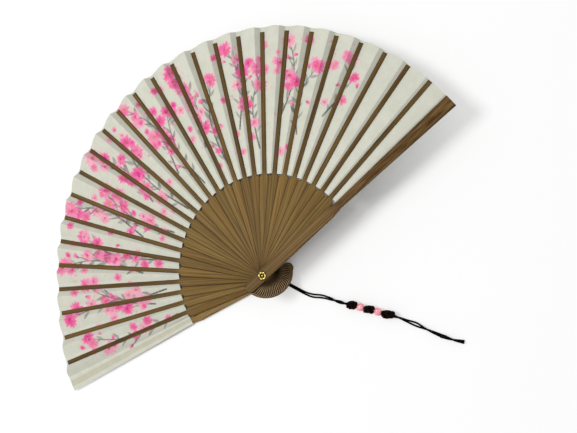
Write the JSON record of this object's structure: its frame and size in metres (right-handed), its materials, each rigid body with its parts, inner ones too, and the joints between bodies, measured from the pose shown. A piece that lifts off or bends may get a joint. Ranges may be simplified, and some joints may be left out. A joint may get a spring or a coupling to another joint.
{
  "type": "folding hand fan",
  "caption": "Folding hand fan with bamboo guards and ribs on a brass rivet, a pleated silk leaf with sprays of flowers, and a beaded black cord.",
  "frame": {"origin": "on the rivet axis, in the plane of the rear guard's outer face, which the flush rear rivet head shares", "axes": "+Z along the rivet from the rear guard to the front guard, +Y towards the middle of the open leaf, +X towards the open front guard"},
  "size_m": [0.3882, 0.3211, 0.0306],
  "materials": {
    "guard_bamboo": "stained bamboo, satin, with dark nodes and long grain",
    "rib_bamboo": "stained bamboo, satin, fine long grain",
    "leaf_silk": "off-white silk on paper, matt, pleated, painted with loose sprays of pink flowers",
    "rivet_brass": "polished brass",
    "cord_black": "black twisted cord, slight sheen",
    "bead_pink": "glossy pink resin"
  },
  "bodies": {
    "base": {"rear_guard": "guard_bamboo", "leaf_end": "leaf_silk", "pivot_rivet": "rivet_brass", "cord": "cord_black", "cord_knots": "cord_black", "pink_beads": "bead_pink"},
    "stick_01": {"rib_01": "rib_bamboo", "leaf_gore_01": "leaf_silk"},
    "stick_02": {"rib_02": "rib_bamboo", "leaf_gore_02": "leaf_silk"},
    "stick_03": {"rib_03": "rib_bamboo", "leaf_gore_03": "leaf_silk"},
    "stick_04": {"rib_04": "rib_bamboo", "leaf_gore_04": "leaf_silk"},
    "stick_05": {"rib_05": "rib_bamboo", "leaf_gore_05": "leaf_silk"},
    "stick_06": {"rib_06": "rib_bamboo", "leaf_gore_06": "leaf_silk"},
    "stick_07": {"rib_07": "rib_bamboo", "leaf_gore_07": "leaf_silk"},
    "stick_08": {"rib_08": "rib_bamboo", "leaf_gore_08": "leaf_silk"},
    "stick_09": {"rib_09": "rib_bamboo", "leaf_gore_09": "leaf_silk"},
    "stick_10": {"rib_10": "rib_bamboo", "leaf_gore_10": "leaf_silk"},
    "stick_11": {"rib_11": "rib_bamboo", "leaf_gore_11": "leaf_silk"},
    "stick_12": {"rib_12": "rib_bamboo", "leaf_gore_12": "leaf_silk"},
    "stick_13": {"rib_13": "rib_bamboo", "leaf_gore_13": "leaf_silk"},
    "stick_14": {"rib_14": "rib_bamboo", "leaf_gore_14": "leaf_silk"},
    "stick_15": {"rib_15": "rib_bamboo", "leaf_gore_15": "leaf_silk"},
    "stick_16": {"rib_16": "rib_bamboo", "leaf_gore_16": "leaf_silk"},
    "stick_17": {"rib_17": "rib_bamboo", "leaf_gore_17": "leaf_silk"},
    "stick_18": {"rib_18": "rib_bamboo", "leaf_gore_18": "leaf_silk"},
    "stick_19": {"rib_19": "rib_bamboo", "leaf_gore_19": "leaf_silk"},
    "stick_20": {"rib_20": "rib_bamboo", "leaf_gore_20": "leaf_silk"},
    "stick_21": {"rib_21": "rib_bamboo", "leaf_gore_21": "leaf_silk"},
    "stick_22": {"rib_22": "rib_bamboo", "leaf_gore_22": "leaf_silk"},
    "stick_23": {"rib_23": "rib_bamboo", "leaf_gore_23": "leaf_silk"},
    "stick_24": {"rib_24": "rib_bamboo", "leaf_gore_24": "leaf_silk"},
    "stick_25": {"rib_25": "rib_bamboo", "leaf_gore_25": "leaf_silk"},
    "stick_26": {"rib_26": "rib_bamboo", "leaf_gore_26": "leaf_silk"},
    "front_stick": {"front_guard": "guard_bamboo", "leaf_gore_27": "leaf_silk"}
  },
  "joints": [
    {"name": "front_swing", "type": "hinge", "parent": "base", "child": "front_stick", "pos_m": [0, 0, 0], "axis": [0, 0, 1], "range_deg": [0, 165.95]},
    {"name": "rib_01_swing", "type": "hinge", "parent": "base", "child": "stick_01", "pos_m": [0, 0, 0], "axis": [0, 0, 1], "range_deg": [0, 5.2]},
    {"name": "rib_02_swing", "type": "hinge", "parent": "base", "child": "stick_02", "pos_m": [0, 0, 0], "axis": [0, 0, 1], "range_deg": [0, 11.37]},
    {"name": "rib_03_swing", "type": "hinge", "parent": "base", "child": "stick_03", "pos_m": [0, 0, 0], "axis": [0, 0, 1], "range_deg": [0, 17.54]},
    {"name": "rib_04_swing", "type": "hinge", "parent": "base", "child": "stick_04", "pos_m": [0, 0, 0], "axis": [0, 0, 1], "range_deg": [0, 23.71]},
    {"name": "rib_05_swing", "type": "hinge", "parent": "base", "child": "stick_05", "pos_m": [0, 0, 0], "axis": [0, 0, 1], "range_deg": [0, 29.88]},
    {"name": "rib_06_swing", "type": "hinge", "parent": "base", "child": "stick_06", "pos_m": [0, 0, 0], "axis": [0, 0, 1], "range_deg": [0, 36.05]},
    {"name": "rib_07_swing", "type": "hinge", "parent": "base", "child": "stick_07", "pos_m": [0, 0, 0], "axis": [0, 0, 1], "range_deg": [0, 42.22]},
    {"name": "rib_08_swing", "type": "hinge", "parent": "base", "child": "stick_08", "pos_m": [0, 0, 0], "axis": [0, 0, 1], "range_deg": [0, 48.39]},
    {"name": "rib_09_swing", "type": "hinge", "parent": "base", "child": "stick_09", "pos_m": [0, 0, 0], "axis": [0, 0, 1], "range_deg": [0, 54.56]},
    {"name": "rib_10_swing", "type": "hinge", "parent": "base", "child": "stick_10", "pos_m": [0, 0, 0], "axis": [0, 0, 1], "range_deg": [0, 60.73]},
    {"name": "rib_11_swing", "type": "hinge", "parent": "base", "child": "stick_11", "pos_m": [0, 0, 0], "axis": [0, 0, 1], "range_deg": [0, 66.9]},
    {"name": "rib_12_swing", "type": "hinge", "parent": "base", "child": "stick_12", "pos_m": [0, 0, 0], "axis": [0, 0, 1], "range_deg": [0, 73.07]},
    {"name": "rib_13_swing", "type": "hinge", "parent": "base", "child": "stick_13", "pos_m": [0, 0, 0], "axis": [0, 0, 1], "range_deg": [0, 79.24]},
    {"name": "rib_14_swing", "type": "hinge", "parent": "base", "child": "stick_14", "pos_m": [0, 0, 0], "axis": [0, 0, 1], "range_deg": [0, 85.41]},
    {"name": "rib_15_swing", "type": "hinge", "parent": "base", "child": "stick_15", "pos_m": [0, 0, 0], "axis": [0, 0, 1], "range_deg": [0, 91.58]},
    {"name": "rib_16_swing", "type": "hinge", "parent": "base", "child": "stick_16", "pos_m": [0, 0, 0], "axis": [0, 0, 1], "range_deg": [0, 97.75]},
    {"name": "rib_17_swing", "type": "hinge", "parent": "base", "child": "stick_17", "pos_m": [0, 0, 0], "axis": [0, 0, 1], "range_deg": [0, 103.92]},
    {"name": "rib_18_swing", "type": "hinge", "parent": "base", "child": "stick_18", "pos_m": [0, 0, 0], "axis": [0, 0, 1], "range_deg": [0, 110.09]},
    {"name": "rib_19_swing", "type": "hinge", "parent": "base", "child": "stick_19", "pos_m": [0, 0, 0], "axis": [0, 0, 1], "range_deg": [0, 116.26]},
    {"name": "rib_20_swing", "type": "hinge", "parent": "base", "child": "stick_20", "pos_m": [0, 0, 0], "axis": [0, 0, 1], "range_deg": [0, 122.43]},
    {"name": "rib_21_swing", "type": "hinge", "parent": "base", "child": "stick_21", "pos_m": [0, 0, 0], "axis": [0, 0, 1], "range_deg": [0, 128.6]},
    {"name": "rib_22_swing", "type": "hinge", "parent": "base", "child": "stick_22", "pos_m": [0, 0, 0], "axis": [0, 0, 1], "range_deg": [0, 134.77]},
    {"name": "rib_23_swing", "type": "hinge", "parent": "base", "child": "stick_23", "pos_m": [0, 0, 0], "axis": [0, 0, 1], "range_deg": [0, 140.94]},
    {"name": "rib_24_swing", "type": "hinge", "parent": "base", "child": "stick_24", "pos_m": [0, 0, 0], "axis": [0, 0, 1], "range_deg": [0, 147.11]},
    {"name": "rib_25_swing", "type": "hinge", "parent": "base", "child": "stick_25", "pos_m": [0, 0, 0], "axis": [0, 0, 1], "range_deg": [0, 153.28]},
    {"name": "rib_26_swing", "type": "hinge", "parent": "base", "child": "stick_26", "pos_m": [0, 0, 0], "axis": [0, 0, 1], "range_deg": [0, 159.45]}
  ],
  "couplings": [
    {"joint": "rib_01_swing", "follows": "front_swing", "ratio": 0.031334},
    {"joint": "rib_02_swing", "follows": "front_swing", "ratio": 0.068514},
    {"joint": "rib_03_swing", "follows": "front_swing", "ratio": 0.10569},
    {"joint": "rib_04_swing", "follows": "front_swing", "ratio": 0.14287},
    {"joint": "rib_05_swing", "follows": "front_swing", "ratio": 0.18005},
    {"joint": "rib_06_swing", "follows": "front_swing", "ratio": 0.21723},
    {"joint": "rib_07_swing", "follows": "front_swing", "ratio": 0.25441},
    {"joint": "rib_08_swing", "follows": "front_swing", "ratio": 0.29159},
    {"joint": "rib_09_swing", "follows": "front_swing", "ratio": 0.32877},
    {"joint": "rib_10_swing", "follows": "front_swing", "ratio": 0.36595},
    {"joint": "rib_11_swing", "follows": "front_swing", "ratio": 0.40313},
    {"joint": "rib_12_swing", "follows": "front_swing", "ratio": 0.44031},
    {"joint": "rib_13_swing", "follows": "front_swing", "ratio": 0.47749},
    {"joint": "rib_14_swing", "follows": "front_swing", "ratio": 0.51467},
    {"joint": "rib_15_swing", "follows": "front_swing", "ratio": 0.55185},
    {"joint": "rib_16_swing", "follows": "front_swing", "ratio": 0.58903},
    {"joint": "rib_17_swing", "follows": "front_swing", "ratio": 0.62621},
    {"joint": "rib_18_swing", "follows": "front_swing", "ratio": 0.66339},
    {"joint": "rib_19_swing", "follows": "front_swing", "ratio": 0.70057},
    {"joint": "rib_20_swing", "follows": "front_swing", "ratio": 0.73775},
    {"joint": "rib_21_swing", "follows": "front_swing", "ratio": 0.77493},
    {"joint": "rib_22_swing", "follows": "front_swing", "ratio": 0.81211},
    {"joint": "rib_23_swing", "follows": "front_swing", "ratio": 0.84929},
    {"joint": "rib_24_swing", "follows": "front_swing", "ratio": 0.88647},
    {"joint": "rib_25_swing", "follows": "front_swing", "ratio": 0.92365},
    {"joint": "rib_26_swing", "follows": "front_swing", "ratio": 0.96083}
  ]
}
